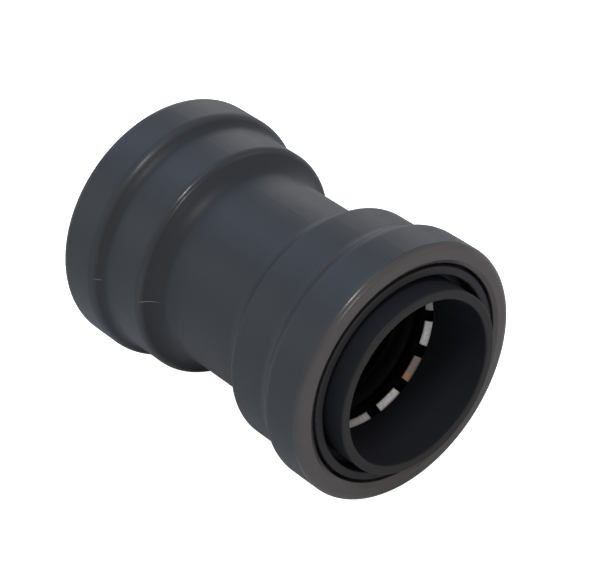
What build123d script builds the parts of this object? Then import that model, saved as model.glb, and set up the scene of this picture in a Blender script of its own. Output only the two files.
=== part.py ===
from build123d import *
import math
import os

# Straight push-to-connect pipe coupling. Millimetres. The axis of the coupling lies along X,
# the origin is on the axis at the middle of the body, and Z is up.
# Every end piece is drawn for the +X end and turned half a turn about Z for the -X end.

# Body, outside
BARREL_R = 20.20
MIDDLE_R = 24.30                      # section that houses the seal
COLLAR_R = 26.35
BODY_HALF = 35.30                     # middle of the body to its rim
INNER_STEP = 8.60                     # where the barrel starts to rise
INNER_FOOT, INNER_CREST = 5.30, 1.40
OUTER_STEP = 22.40                    # where the seal section starts to rise
OUTER_FOOT, OUTER_CREST = 3.80, 2.50
RIM_ROUND = 1.50

# Body, inside
STOP_R, STOP_HALF, STOP_RAMP = 15.00, 1.40, 0.80
SOCKET_R = 16.95
SEAL_R, SEAL_FLOOR = 21.10, 14.00
MOUTH_R, SEAT = 22.50, 25.90          # mouth bore, and the shoulder that the grab ring sits on
CHAMFER_DEEP, CHAMFER_WIDE = 0.50, 0.80
GROOVE_START, GROOVE_END, GROOVE_R = 27.90, 30.50, 23.05

# Seal and tooth guard
GAP = 0.05                            # room left between fitted pieces
O_RING_SECTION = 4.90
GUARD_START, GUARD_BORE = 19.90, 17.20
GUARD_LIP, GUARD_CONE_R = 20.90, 20.40

# Grab ring
SHEET = 0.50
RIM_R = 22.40
TIP_X, TIP_R = 22.70, 16.40           # the edge of a tooth that bites
TOOTH_ANGLE = math.radians(39.8)      # between a tooth and the axis
TEETH, TOOTH_PHASE = 14, 2.6
SLOT_WIDTH, SLOT_ROOT = 2.50, 19.20

# Retainer ring
RETAINER_R, NOSE_R = 22.45, 21.80
NOSE_START, RETAINER_FACE = 31.60, 35.00
GUIDE_R, GUIDE_END, LIP_R = 21.15, 31.00, 20.15
BARB_START, BARB_END, BARB_R = 28.00, 30.20, 22.95

# Release collet
COLLET_R, COLLET_BORE = 18.80, 16.95
COLLET_NOSE, COLLET_FACE = 24.30, 38.70
NOSE_EDGE = 0.15                      # blunt width of the nose
RELEASE_ANGLE = math.radians(25.0)    # cone that slides under the teeth
FLANGE_START, FLANGE_END, FLANGE_R = 29.40, 30.95, 21.07


def turned(edges):
    """Solid of revolution about X from a closed profile of (x, radius) edges."""
    return revolve(Plane.XZ * make_face(edges), Axis.X)


def lathe(points, rounds=()):
    """Solid of revolution about X from (x, radius) corners. rounds lists (x, radius, size)."""
    face = make_face(Polyline(*points, close=True))
    for x, r, size in rounds:
        corner = face.vertices().sort_by_distance((x, r))[0]
        face = fillet(corner, size)
    return revolve(Plane.XZ * face, Axis.X)


def rise(x, low, high, foot, crest):
    """Concave foot and convex crest that carry the outside from radius low up to high."""
    span = foot + crest
    drop = span - high + low
    run = math.sqrt(span**2 - drop**2)
    share = foot / span
    meet = (x + run * share, low + foot - drop * share)
    top = (x + run, high)
    return [
        TangentArc((x, low), meet, tangent=(1, 0)),
        TangentArc(meet, top, tangent=(drop, run)),
    ], top


def body_outside():
    """Outside of the +X half, from the middle of the barrel to the rim."""
    inner, inner_top = rise(INNER_STEP, BARREL_R, MIDDLE_R, INNER_FOOT, INNER_CREST)
    outer, outer_top = rise(OUTER_STEP, MIDDLE_R, COLLAR_R, OUTER_FOOT, OUTER_CREST)
    rim_start = (BODY_HALF - RIM_ROUND, COLLAR_R)
    rim_end = (BODY_HALF, COLLAR_R - RIM_ROUND)
    return [
        Line((0, BARREL_R), (INNER_STEP, BARREL_R)),
        *inner,
        Line(inner_top, (OUTER_STEP, MIDDLE_R)),
        *outer,
        Line(outer_top, rim_start),
        TangentArc(rim_start, rim_end, tangent=(1, 0)),
    ]


def body_inside():
    """Inside of the +X half, from the rim back to the pipe stop."""
    stop_foot = (STOP_HALF + STOP_RAMP, SOCKET_R)
    return Polyline(
        (BODY_HALF, COLLAR_R - RIM_ROUND),
        (BODY_HALF, MOUTH_R + CHAMFER_WIDE),
        (BODY_HALF - CHAMFER_DEEP, MOUTH_R),
        (GROOVE_END, MOUTH_R),
        (GROOVE_END, GROOVE_R),
        (GROOVE_START, GROOVE_R),
        (GROOVE_START, MOUTH_R),
        (SEAT, MOUTH_R),
        (SEAT, SEAL_R),
        (SEAL_FLOOR, SEAL_R),
        (SEAL_FLOOR, SOCKET_R),
        stop_foot,
        (STOP_HALF, STOP_R),
        (0, STOP_R),
    ).edges()


def coupling_body():
    half = [*body_outside(), *body_inside()]
    other = [mirror(edge, about=Plane.YZ) for edge in half]
    return turned(half + other)


def retainer_ring():
    """Snap-in ring. Its bore guides the collet's flange, and its lip keeps the collet in."""
    return lathe(
        [
            (SEAT + SHEET, GUIDE_R),
            (SEAT + SHEET, RETAINER_R),
            (BARB_START, RETAINER_R),
            (BARB_END, BARB_R),
            (BARB_END, RETAINER_R),
            (NOSE_START, RETAINER_R),
            (NOSE_START, NOSE_R),
            (RETAINER_FACE, NOSE_R),
            (RETAINER_FACE, LIP_R),
            (GUIDE_END, LIP_R),
            (GUIDE_END, GUIDE_R),
        ],
        rounds=[(RETAINER_FACE, NOSE_R, 0.30), (RETAINER_FACE, LIP_R, 0.30)],
    )


def release_collet():
    """Sleeve with a cone at its nose that spreads the teeth when it is pushed in."""
    cone = (COLLET_R - COLLET_BORE - NOSE_EDGE) / math.tan(RELEASE_ANGLE)
    return lathe(
        [
            (COLLET_NOSE, COLLET_BORE),
            (COLLET_NOSE, COLLET_BORE + NOSE_EDGE),
            (COLLET_NOSE + cone, COLLET_R),
            (FLANGE_START, COLLET_R),
            (FLANGE_START, FLANGE_R),
            (FLANGE_END, FLANGE_R),
            (FLANGE_END, COLLET_R),
            (COLLET_FACE, COLLET_R),
            (COLLET_FACE, COLLET_BORE),
        ],
        rounds=[(COLLET_FACE, COLLET_R, 0.35), (COLLET_FACE, COLLET_BORE, 0.35)],
    )


def grab_ring():
    """Stamped steel ring: a flat rim, and teeth that slope in towards the pipe stop."""
    slope = math.tan(TOOTH_ANGLE)
    out = SEAT + SHEET
    side = Vector(-SHEET * math.sin(TOOTH_ANGLE), SHEET * math.cos(TOOTH_ANGLE))
    back_tip = Vector(TIP_X, TIP_R) + side
    bend_front = (out, TIP_R + (out - TIP_X) * slope)
    bend_back = (SEAT, back_tip.Y + (SEAT - back_tip.X) * slope)
    ring = lathe(
        [
            (SEAT, RIM_R),
            (out, RIM_R),
            bend_front,
            (TIP_X, TIP_R),
            (back_tip.X, back_tip.Y),
            bend_back,
        ],
        rounds=[(*bend_front, 0.30), (*bend_back, 0.60)],
    )
    depth = out - TIP_X + 2
    slot = SlotCenterPoint((SLOT_ROOT - 6, 0), (SLOT_ROOT - SLOT_WIDTH / 2, 0), SLOT_WIDTH)
    cutter = extrude(Plane.YZ * Rot(0, 0, 90) * slot, depth)
    for k in range(TEETH):
        angle = TOOTH_PHASE + (k + 0.5) * 360 / TEETH
        ring -= Rot(-angle, 0, 0) * Pos(TIP_X - 1, 0, 0) * cutter
    return ring


def tooth_guard():
    """Backing ring between the seal and the teeth, coned so that the teeth can bend."""
    outer = SEAL_R - GAP
    return lathe(
        [
            (GUARD_START, GUARD_BORE),
            (GUARD_START, outer),
            (SEAT - GAP, outer),
            (SEAT - GAP, GUARD_CONE_R),
            (GUARD_LIP, GUARD_BORE),
        ]
    )


def o_ring():
    major = SEAL_R - GAP - O_RING_SECTION / 2
    middle = (SEAL_FLOOR + GUARD_START) / 2
    return Pos(middle, 0, 0) * Rot(0, 90, 0) * Torus(major, O_RING_SECTION / 2)


os.makedirs("parts", exist_ok=True)
export_step(coupling_body(), "parts/coupling_body.step")
for name, make in {
    "retainer_ring": retainer_ring,
    "release_collet": release_collet,
    "grab_ring": grab_ring,
    "tooth_guard": tooth_guard,
    "o_ring": o_ring,
}.items():
    piece = make()
    export_step(piece, f"parts/right_{name}.step")
    export_step(Rot(0, 0, 180) * piece, f"parts/left_{name}.step")
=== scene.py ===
import math

import bmesh
import bpy
from mathutils import Matrix, Vector


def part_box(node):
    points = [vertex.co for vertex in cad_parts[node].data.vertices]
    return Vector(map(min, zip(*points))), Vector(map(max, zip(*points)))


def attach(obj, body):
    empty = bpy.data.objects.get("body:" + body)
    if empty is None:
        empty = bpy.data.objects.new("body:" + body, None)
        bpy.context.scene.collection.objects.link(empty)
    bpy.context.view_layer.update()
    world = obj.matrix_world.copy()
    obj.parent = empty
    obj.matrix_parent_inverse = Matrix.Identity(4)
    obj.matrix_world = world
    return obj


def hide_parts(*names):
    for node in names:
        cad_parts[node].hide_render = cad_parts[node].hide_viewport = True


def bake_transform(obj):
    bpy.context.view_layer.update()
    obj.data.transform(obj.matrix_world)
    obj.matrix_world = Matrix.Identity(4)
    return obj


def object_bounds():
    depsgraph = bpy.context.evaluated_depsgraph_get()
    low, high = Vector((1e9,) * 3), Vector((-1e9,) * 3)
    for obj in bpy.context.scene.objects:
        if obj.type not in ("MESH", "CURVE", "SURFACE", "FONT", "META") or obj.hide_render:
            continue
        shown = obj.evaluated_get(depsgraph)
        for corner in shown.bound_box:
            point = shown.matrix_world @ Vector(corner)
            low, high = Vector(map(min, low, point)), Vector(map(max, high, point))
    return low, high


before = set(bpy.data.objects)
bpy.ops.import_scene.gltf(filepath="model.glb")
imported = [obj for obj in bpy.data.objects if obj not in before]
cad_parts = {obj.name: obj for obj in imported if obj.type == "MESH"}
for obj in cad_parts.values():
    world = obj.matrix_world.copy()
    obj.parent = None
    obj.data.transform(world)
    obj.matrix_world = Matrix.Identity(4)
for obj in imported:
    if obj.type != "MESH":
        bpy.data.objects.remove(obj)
cad_low, cad_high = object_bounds()
MM = 0.001

# ---------------------------------------------------------------- camera

AZIMUTH, ELEVATION = math.radians(49.25), math.radians(34.31)
DISTANCE = 0.45034
AIM_RIGHT, AIM_UP = 0.0034554, 0.0002762   # how far the aim passes the object's middle
LENS = 140.71


def add_camera():
    back = Vector((
        math.sin(AZIMUTH) * math.cos(ELEVATION),
        -math.cos(AZIMUTH) * math.cos(ELEVATION),
        math.sin(ELEVATION),
    ))
    turn = (-back).to_track_quat("-Z", "Y")
    camera = bpy.data.objects.new("camera", bpy.data.cameras.new("camera"))
    bpy.context.collection.objects.link(camera)
    camera.data.sensor_width = 36.0
    camera.data.lens = LENS
    camera.data.clip_start, camera.data.clip_end = 0.01, 20
    camera.rotation_mode = "QUATERNION"
    camera.rotation_quaternion = turn
    middle = (cad_low + cad_high) / 2
    camera.location = middle + back * DISTANCE + turn @ Vector((AIM_RIGHT, AIM_UP, 0))
    bpy.context.scene.camera = camera


add_camera()

# ---------------------------------------------------------------- material helpers


class Nodes:
    """A short way to write a node tree. Textures are laid out in the object's own metres."""

    def __init__(self, name):
        self.material = bpy.data.materials.new(name)
        self.material.use_nodes = True
        self.tree = self.material.node_tree
        self.shader = self.tree.nodes["Principled BSDF"]
        self.place = self.node("TexCoord").outputs["Object"]

    def node(self, kind, **settings):
        made = self.tree.nodes.new("ShaderNode" + kind)
        for key, value in settings.items():
            setattr(made, key, value)
        return made

    def link(self, a, b):
        self.tree.links.new(a, b)

    def noise(self, scale, detail=3.0, stretch=(1, 1, 1), roughness=0.5):
        where = self.node("Mapping")
        where.inputs["Scale"].default_value = stretch
        self.link(self.place, where.inputs["Vector"])
        noise = self.node("TexNoise")
        noise.inputs["Scale"].default_value = scale
        noise.inputs["Detail"].default_value = detail
        noise.inputs["Roughness"].default_value = roughness
        self.link(where.outputs["Vector"], noise.inputs["Vector"])
        return noise.outputs["Fac"]

    def ramp(self, value, low, high, start=0.3, end=0.7):
        """Maps start..end of a value onto low..high, as numbers or as colours."""
        if isinstance(low, (int, float)):
            spread = self.node("MapRange")
            spread.inputs["From Min"].default_value = start
            spread.inputs["From Max"].default_value = end
            spread.inputs["To Min"].default_value = low
            spread.inputs["To Max"].default_value = high
            self.link(value, spread.inputs["Value"])
            return spread.outputs["Result"]
        ramp = self.node("ValToRGB")
        for stop, place, colour in zip(ramp.color_ramp.elements, (start, end), (low, high)):
            stop.position = place
            stop.color = (*colour, 1)
        self.link(value, ramp.inputs["Fac"])
        return ramp.outputs["Color"]

    def math(self, operation, a, b):
        made = self.node("Math", operation=operation)
        self.link(a, made.inputs[0])
        self.link(b, made.inputs[1])
        return made.outputs[0]

    def band(self, start, end, fade, left_only=False):
        """1 between two distances from the middle of the coupling along its axis, 0 elsewhere."""
        parts = self.node("SeparateXYZ")
        away = self.node("Math", operation="MULTIPLY" if left_only else "ABSOLUTE")
        away.inputs[1].default_value = -1.0
        self.link(self.place, parts.inputs[0])
        self.link(parts.outputs["X"], away.inputs[0])
        rise = self.ramp(away.outputs[0], 0.0, 1.0, start - fade, start)
        fall = self.ramp(away.outputs[0], 1.0, 0.0, end, end + fade)
        return self.math("MULTIPLY", rise, fall)

    def inside(self, start, end):
        """1 nearer the axis than start, 0 farther from it than end."""
        flat = self.node("Mapping")
        flat.inputs["Scale"].default_value = (0, 1, 1)
        length = self.node("VectorMath", operation="LENGTH")
        self.link(self.place, flat.inputs["Vector"])
        self.link(flat.outputs["Vector"], length.inputs[0])
        return self.ramp(length.outputs["Value"], 1.0, 0.0, start, end)

    def toward(self, angle, width):
        """1 in one direction from the axis, 0 where it is farther than width to either side."""
        flat = self.node("Mapping")
        flat.inputs["Scale"].default_value = (0, 1, 1)
        way = self.node("VectorMath", operation="NORMALIZE")
        apart = self.node("VectorMath", operation="DISTANCE")
        apart.inputs[1].default_value = (0, math.sin(angle), math.cos(angle))
        self.link(self.place, flat.inputs["Vector"])
        self.link(flat.outputs["Vector"], way.inputs[0])
        self.link(way.outputs["Vector"], apart.inputs[0])
        return self.ramp(apart.outputs["Value"], 1.0, 0.0, width * 0.7, width)

    def mix(self, factor, low, high):
        mix = self.node("Mix", data_type="RGBA")
        self.link(factor, mix.inputs["Factor"])
        self.link(low, mix.inputs["A"])
        self.link(high, mix.inputs["B"])
        return mix.outputs["Result"]

    def blend(self, factor, low, colour):
        """Lays one colour over a textured one."""
        mix = self.node("Mix", data_type="RGBA")
        self.link(factor, mix.inputs["Factor"])
        self.link(low, mix.inputs["A"])
        mix.inputs["B"].default_value = (*colour, 1)
        return mix.outputs["Result"]

    def bump(self, height, distance, strength, under=None):
        bump = self.node("Bump")
        bump.inputs["Distance"].default_value = distance
        bump.inputs["Strength"].default_value = strength
        self.link(height, bump.inputs["Height"])
        if under is not None:
            self.link(under, bump.inputs["Normal"])
        return bump.outputs["Normal"]

    def set(self, **sockets):
        for key, value in sockets.items():
            socket = self.shader.inputs[key.replace("_", " ")]
            if isinstance(value, bpy.types.NodeSocket):
                self.link(value, socket)
            else:
                socket.default_value = value


def shade(colour, k):
    return tuple(c * k for c in colour)


def body_wear_and_painted_light(n, mottle, tone, gloss, specular):
    """Painted shade in the hollows of the left end and in the bore behind the seals, a painted reflection
    that makes the rim paler and warmer, and the crests and edges that are rubbed bright.
    """
    # painted shade: the hollows at the foot of the left end's shoulders are coloured darker
    for place in SHADED_HOLLOWS:
        tone = n.blend(n.band(*place, left_only=True), tone, HOLLOW_SHADE_COLOUR)
    tone = n.blend(n.inside(*SHADED), tone, SHADED_COLOUR)
    # painted reflection: the end faces are coloured paler and warmer than the body
    rim = n.ramp(mottle, shade(RIM_REFLECTION_COLOUR, 0.96), shade(RIM_REFLECTION_COLOUR, 1.04))
    tone = n.mix(n.band(*RIM_REFLECTION_BAND), tone, rim)
    rubbed = n.ramp(n.band(*RIM_EDGE), 0.0, 0.9, 0, 1)
    for *place, amount in CRESTS:
        crest = n.ramp(n.band(*place, left_only=True), 0.0, amount, 0, 1)
        rubbed = n.math("MAXIMUM", rubbed, crest)
    gloss = n.math("MULTIPLY", gloss, n.ramp(rubbed, 1.0, 0.5, 0, 1))
    specular = n.ramp(rubbed, specular, specular + 0.2, 0, 1)
    return tone, gloss, specular


def collet_lit_face(n, mottle, tone, gloss, specular):
    """Painted light: the end face is coloured paler than the sides."""
    return n.blend(n.band(*LIT_FACE_BAND), tone, LIT_FACE_COLOUR), gloss, specular


def moulded(name, colour, rough, specular, wear_and_light=None):
    """Injection-moulded plastic: mottling, orange peel, turning lines, uneven gloss and dust."""
    n = Nodes(name)
    mottle = n.noise(55, detail=5)
    peel = n.noise(2600, detail=2)
    sink = n.noise(160, detail=2)
    turning = n.noise(3200, detail=2, stretch=(1, 0.02, 0.02))
    scuff = n.noise(420, detail=6, stretch=(1, 6, 6), roughness=0.65)
    dust = n.ramp(n.noise(1500, detail=3, roughness=0.7), 0.0, 0.25, 0.66, 0.78)
    tone = n.ramp(mottle, shade(colour, 0.96), shade(colour, 1.04))
    gloss = n.ramp(scuff, rough - 0.04, rough + 0.06)
    if wear_and_light:
        tone, gloss, specular = wear_and_light(n, mottle, tone, gloss, specular)
    relief = n.bump(sink, 0.04 * MM, 0.25)
    relief = n.bump(turning, 0.003 * MM, 0.3, under=relief)
    n.set(
        Base_Color=n.blend(dust, tone, DUST_COLOUR),
        Roughness=gloss,
        Normal=n.bump(peel, 0.01 * MM, 0.35, under=relief),
        Specular_IOR_Level=specular,
    )
    return n.material


def steel(name):
    """Bright stamped stainless strip with a fine rolled grain and one dull, stained tooth."""
    n = Nodes(name)
    grain = n.noise(900, detail=6, stretch=(5, 5, 0.3), roughness=0.7)
    streaks = n.noise(2400, detail=4, stretch=(0.3, 1, 1), roughness=0.7)
    sheen = n.ramp(streaks, (0.60, 0.575, 0.555), (1.0, 0.97, 0.94))
    dulled = n.blend(n.toward(DULL, 0.22), sheen, DULL_COLOUR)
    n.set(
        Base_Color=n.blend(n.toward(STAIN, 0.07), dulled, STAIN_COLOUR),
        Roughness=n.ramp(grain, 0.32, 0.52),
        Normal=n.bump(grain, 0.01 * MM, 0.5),
        Metallic=1.0,
    )
    return n.material


def rubber(name):
    """Black moulded rubber with a trace of grease, coloured darker still as painted shade inside the bore.
    """
    n = Nodes(name)
    film = n.noise(240, detail=3)
    grain = n.noise(3200, detail=3)
    n.set(
        # painted shade: darker than black rubber, for the shade inside the bore
        Base_Color=n.ramp(film, (0.003, 0.003, 0.0032), (0.005, 0.005, 0.0053)),
        Roughness=n.ramp(film, 0.50, 0.70),
        Normal=n.bump(grain, 0.01 * MM, 0.5),
        Specular_IOR_Level=0.08,
    )
    return n.material


BODY_COLOUR, BODY_SPECULAR = (0.045, 0.049, 0.056), 0.24
# painted reflection: the rim's end faces are coloured paler and warmer, for the warm light they reflect
RIM_REFLECTION_COLOUR, RIM_REFLECTION_BAND = (0.085, 0.076, 0.074), (34.9 * MM, 1.0, 1.0 * MM)
HOLLOW_SHADE_COLOUR = (0.034, 0.037, 0.043)  # painted shade where the shoulders of the left end rise
SHADED_HOLLOWS = ((10.6 * MM, 13.3 * MM, 1.0 * MM), (23.7 * MM, 25.2 * MM, 0.6 * MM))
SHADED = (17.5 * MM, 18.5 * MM)        # radii where the shade of the bore behind the seals ends
SHADED_COLOUR = (0.006, 0.006, 0.006)
RIM_EDGE = (34.0 * MM, 1.0, 0.4 * MM)  # rubbed bright, as are the crests of the left end
CRESTS = ((13.6 * MM, 14.2 * MM, 0.2 * MM, 1.0), (25.4 * MM, 26.2 * MM, 0.3 * MM, 0.5))
RETAINER_COLOUR, TRIM_SPECULAR = (0.032, 0.032, 0.034), 0.15
COLLET_COLOUR = (0.0215, 0.0225, 0.029)
# painted light: the collet's end face is coloured paler than its sides and bore
LIT_FACE_COLOUR, LIT_FACE_BAND = (0.029, 0.0285, 0.0285), (38.4 * MM, 1.0, 0.3 * MM)
DUST_COLOUR = (0.10, 0.10, 0.105)
DULL, DULL_COLOUR = math.radians(131), (0.34, 0.28, 0.26)
STAIN, STAIN_COLOUR = math.radians(138), (0.50, 0.28, 0.17)

MATERIALS = {
    "coupling_body": moulded("body_pvc", BODY_COLOUR, 0.42, BODY_SPECULAR, body_wear_and_painted_light),
    "parting_line": moulded("scraped_pvc", (0.13, 0.135, 0.14), 0.40, 0.4),
    "retainer_ring": moulded("retainer_plastic", RETAINER_COLOUR, 0.42, TRIM_SPECULAR),
    "release_collet": moulded("collet_plastic", COLLET_COLOUR, 0.42, TRIM_SPECULAR, collet_lit_face),
    # painted shade: the guard is black, coloured darker still for the shade inside the bore
    "tooth_guard": moulded("guard_plastic", (0.003, 0.003, 0.0032), 0.6, 0.06),
    "o_ring": rubber("seal_rubber"),
    "grab_ring": steel("stainless_steel"),
}

for name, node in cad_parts.items():
    kind = name.removeprefix("left_").removeprefix("right_")
    node.data.materials.clear()
    node.data.materials.append(MATERIALS[kind])

# ---------------------------------------------------------------- mesh helpers


def add_piece(name, bm, material, bevel=0.0):
    """Makes the piece, rounds its sharp edges by bevel, and smooths what is left."""
    bmesh.ops.remove_doubles(bm, verts=bm.verts, dist=1e-7)
    bmesh.ops.recalc_face_normals(bm, faces=bm.faces)
    mesh = bpy.data.meshes.new(name)
    bm.to_mesh(mesh)
    bm.free()
    piece = bpy.data.objects.new(name, mesh)
    bpy.context.collection.objects.link(piece)
    if bevel:
        rounding = piece.modifiers.new("rounding", "BEVEL")
        rounding.width = bevel
        rounding.segments = 2
        rounding.limit_method = "ANGLE"
        rounding.angle_limit = math.radians(55)
        depsgraph = bpy.context.evaluated_depsgraph_get()
        piece.data = bpy.data.meshes.new_from_object(piece.evaluated_get(depsgraph))
        piece.modifiers.clear()
    piece.data.name = name
    piece.data.materials.clear()
    piece.data.materials.append(material)
    piece.data.shade_smooth()
    piece.data.set_sharp_from_angle(angle=math.radians(40))
    return piece


# ---------------------------------------------------------------- grab rings

SHEET = 0.50 * MM
TOOTH_ANGLE = math.radians(39.8)      # between a tooth and the axis
TOOTH_TIP_R = 16.40 * MM
TEETH, TOOTH_PHASE = 14, math.radians(2.6)
SLOT_HALF, SLOT_ROOT = 1.25 * MM, 19.20 * MM
BEND_R = 0.80 * MM                    # outer radius of the bend at the root of a tooth
TOOTH_COLUMNS = 14
BEND_ROWS, ROOT_ROWS, TOOTH_ROWS = 6, 9, 8


def sheet_rows(front, rim_r, tip_x):
    """The sheet's front side from the rim's edge to a tooth's tip, as (x, radius, normal)."""
    turn = math.pi / 2 - TOOTH_ANGLE
    corner_r = TOOTH_TIP_R + (front - tip_x) * math.tan(TOOTH_ANGLE)
    bend_start = corner_r + BEND_R * math.tan(turn / 2)
    rows = [(front, rim_r, (1, 0)), (front, (rim_r + bend_start) / 2, (1, 0))]
    for k in range(BEND_ROWS + 1):
        a = turn * k / BEND_ROWS
        across = (math.cos(a), -math.sin(a))
        rows.append((front - BEND_R * (1 - across[0]), bend_start + BEND_R * across[1], across))
    slot_centre = SLOT_ROOT - SLOT_HALF
    radii = [slot_centre + SLOT_HALF * math.cos(math.pi / 2 * k / ROOT_ROWS) for k in range(ROOT_ROWS)]
    step = (slot_centre - TOOTH_TIP_R) / TOOTH_ROWS
    radii += [slot_centre - k * step for k in range(TOOTH_ROWS + 1)]
    for r in radii:
        rows.append((tip_x + (r - TOOTH_TIP_R) / math.tan(TOOTH_ANGLE), r, across))
    return rows


def slot_angle(radius):
    """Half the angle that a slot takes at this radius. Its root is half a circle."""
    past = radius - (SLOT_ROOT - SLOT_HALF)
    if past >= SLOT_HALF:
        return 0.0
    half = SLOT_HALF if past < 0 else math.sqrt(SLOT_HALF**2 - past**2)
    return math.asin(half / radius)


def grab_ring(side):
    low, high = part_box(f"{side}_grab_ring")
    front = max(abs(low.x), abs(high.x))
    tip_x = min(abs(low.x), abs(high.x)) + SHEET * math.sin(TOOTH_ANGLE)
    rows = sheet_rows(front, high.z, tip_x)
    pitch = 2 * math.pi / TEETH
    bm = bmesh.new()
    for k in range(TEETH):
        faces = []
        for back in (0, 1):
            grid = []
            for x, r, (nx, nr) in rows:
                spread = pitch / 2 - slot_angle(r)
                line = []
                for i in range(TOOTH_COLUMNS + 1):
                    t = TOOTH_PHASE + k * pitch + spread * (2 * i / TOOTH_COLUMNS - 1)
                    out = r - back * SHEET * nr
                    line.append(bm.verts.new((x - back * SHEET * nx, out * math.sin(t), out * math.cos(t))))
                grid.append(line)
            faces.append(grid)
        for grid in faces:
            for above, below in zip(grid, grid[1:]):
                for i in range(TOOTH_COLUMNS):
                    bm.faces.new((above[i], above[i + 1], below[i + 1], below[i]))
        outside, inside = faces
        for row in (0, -1):
            for i in range(TOOTH_COLUMNS):
                bm.faces.new((outside[row][i], outside[row][i + 1], inside[row][i + 1], inside[row][i]))
        first = BEND_ROWS + 3
        for j in range(first, len(rows) - 1):
            for i in (0, -1):
                bm.faces.new((outside[j][i], outside[j + 1][i], inside[j + 1][i], inside[j][i]))
    if side == "left":
        bmesh.ops.rotate(bm, verts=bm.verts, matrix=Matrix.Rotation(math.pi, 3, "Z"))
    ring = add_piece(f"{side}_grab_ring_sheet", bm, MATERIALS["grab_ring"], bevel=0.04 * MM)
    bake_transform(ring)
    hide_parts(f"{side}_grab_ring")


for side in ("right", "left"):
    grab_ring(side)

# ---------------------------------------------------------------- parting line of the body's mould

FLASH_HALF = 0.16 * MM
FLASH_LOW, FLASH_GAIN = -0.02 * MM, 0.30 * MM  # it only comes out where the shoulders are steep
FLASH_FROM, FLASH_END = 0.40, 27.0 * MM
FLASH_SINK = 0.05 * MM
FLASH_STEPS = 360
FLASH_TILT = math.radians(3.4)        # the mould's plane is this far off level, up at the front


def parting_line(side):
    """The fine ridge where the two halves of the mould met. Only the shoulders still show it."""
    way = Vector((0, math.cos(FLASH_TILT), -math.sin(FLASH_TILT)))
    across = Vector((0, math.sin(FLASH_TILT), math.cos(FLASH_TILT))) * FLASH_HALF
    if side == "front":
        way = -way
    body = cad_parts["coupling_body"]
    points = []
    for k in range(FLASH_STEPS + 1):
        x = cad_low.x + (cad_high.x - cad_low.x) * k / FLASH_STEPS
        hit, place, normal, _ = body.ray_cast(Vector((x, 0, 0)) + way, -way)
        if not hit:
            continue
        height = FLASH_LOW + FLASH_GAIN * max(0, abs(normal.x) - FLASH_FROM)
        top = place + normal * height
        if abs(x) < FLASH_END:
            points.append((place - normal * FLASH_SINK, top))
    bm = bmesh.new()
    rings = []
    for foot, top in points:
        corners = [foot - across, top, foot + across]
        rings.append([bm.verts.new(corner) for corner in corners])
    for a, b in zip(rings, rings[1:]):
        for i in range(3):
            bm.faces.new((a[i], a[(i + 1) % 3], b[(i + 1) % 3], b[i]))
    bm.faces.new(rings[0])
    bm.faces.new(rings[-1])
    ridge = add_piece(f"{side}_parting_line", bm, MATERIALS["parting_line"])
    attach(ridge, "housing")


for side in ("front", "back"):
    parting_line(side)

# ---------------------------------------------------------------- floor and light

FLOOR_GLOW, TABLE = 1.2, 0.82         # light that the white floor gives off, and the table's tone
TABLE_DROP = 0.1 * MM                 # how far the table lies under the floor

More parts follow.
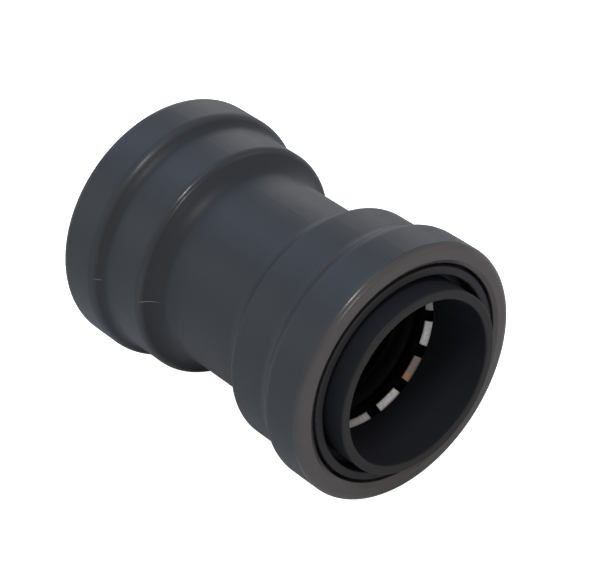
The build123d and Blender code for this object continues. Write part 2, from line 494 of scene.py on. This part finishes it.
def add_sheet(name, drop, low, high, glow=0.0, wall=False):
    """A round sheet of paper under the object. Its edge can sweep up into a wall."""
    profile = [(0.0, 0.0), (2.0, 0.0)]
    if wall:
        sweep = [math.radians(10 * k) for k in range(1, 10)]
        profile += [(2 + math.sin(a), 1 - math.cos(a)) for a in sweep] + [(3.0, 4.0)]
    bm = bmesh.new()
    verts = [bm.verts.new((r, 0, z)) for r, z in profile]
    edges = [bm.edges.new(pair) for pair in zip(verts, verts[1:])]
    full = {"cent": (0, 0, 0), "axis": (0, 0, 1), "angle": 2 * math.pi, "steps": 96}
    bmesh.ops.spin(bm, geom=verts + edges, use_merge=True, **full)
    bmesh.ops.remove_doubles(bm, verts=bm.verts, dist=1e-6)
    mesh = bpy.data.meshes.new(name)
    bm.to_mesh(mesh)
    bm.free()
    sheet = bpy.data.objects.new(name, mesh)
    bpy.context.collection.objects.link(sheet)
    sheet.location.z = cad_low.z - drop
    n = Nodes(f"{name}_paper")
    fibre = n.noise(90, detail=4)
    n.set(
        Base_Color=n.ramp(fibre, (low, low, low), (high, high, high)),
        Roughness=0.9,
        Specular_IOR_Level=0.0,
        Emission_Color=(1, 1, 1, 1),
        Emission_Strength=glow,
    )
    mesh.materials.append(n.material)
    return sheet


def add_floor():
    """The white floor is only seen. The grey table under it sends light up to the object."""
    floor = add_sheet("floor", 0, 0.96, 0.98, glow=FLOOR_GLOW, wall=True)
    floor.visible_diffuse = floor.visible_glossy = floor.visible_transmission = False
    floor.visible_shadow = False
    table = add_sheet("table", TABLE_DROP, TABLE - 0.02, TABLE + 0.02)
    table.visible_camera = False


def add_area(name, azimuth, elevation, power, colour=(1, 1, 1), size=0.6, distance=1.0):
    a, e = math.radians(azimuth), math.radians(elevation)
    way = Vector((math.sin(a) * math.cos(e), -math.cos(a) * math.cos(e), math.sin(e)))
    data = bpy.data.lights.new(name, "AREA")
    data.shape = "DISK"
    data.size, data.energy, data.color = size, power, colour
    light = bpy.data.objects.new(name, data)
    bpy.context.collection.objects.link(light)
    light.location = way * distance
    light.rotation_mode = "QUATERNION"
    light.rotation_quaternion = way.to_track_quat("Z", "Y")


def add_world(strength):
    world = bpy.data.worlds.new("studio")
    bpy.context.scene.world = world
    world.use_nodes = True
    shader = world.node_tree.nodes["Background"]
    shader.inputs["Color"].default_value = (1, 1, 1, 1)
    shader.inputs["Strength"].default_value = strength


add_floor()
add_world(0.41)
add_area("key", 47.7, 63.6, 1.5, size=0.18, distance=0.8)
add_area("side", 88, 19, 0.5, size=0.12, distance=0.8)
add_area("back_right", 135, 18, 0.42, (1.0, 0.70, 0.62))
add_area("front_left", 315, 18, 0.78, (0.82, 0.95, 1.0))
add_area("left", 275, 48, 1.60, (0.50, 0.68, 1.0))
add_area("back_left", 225, 18, 1.0, (0.95, 0.95, 1.0))
add_area("top", 0, 90, 0.6, (0.35, 0.60, 1.0))
bpy.context.scene.view_settings.view_transform = "Standard"
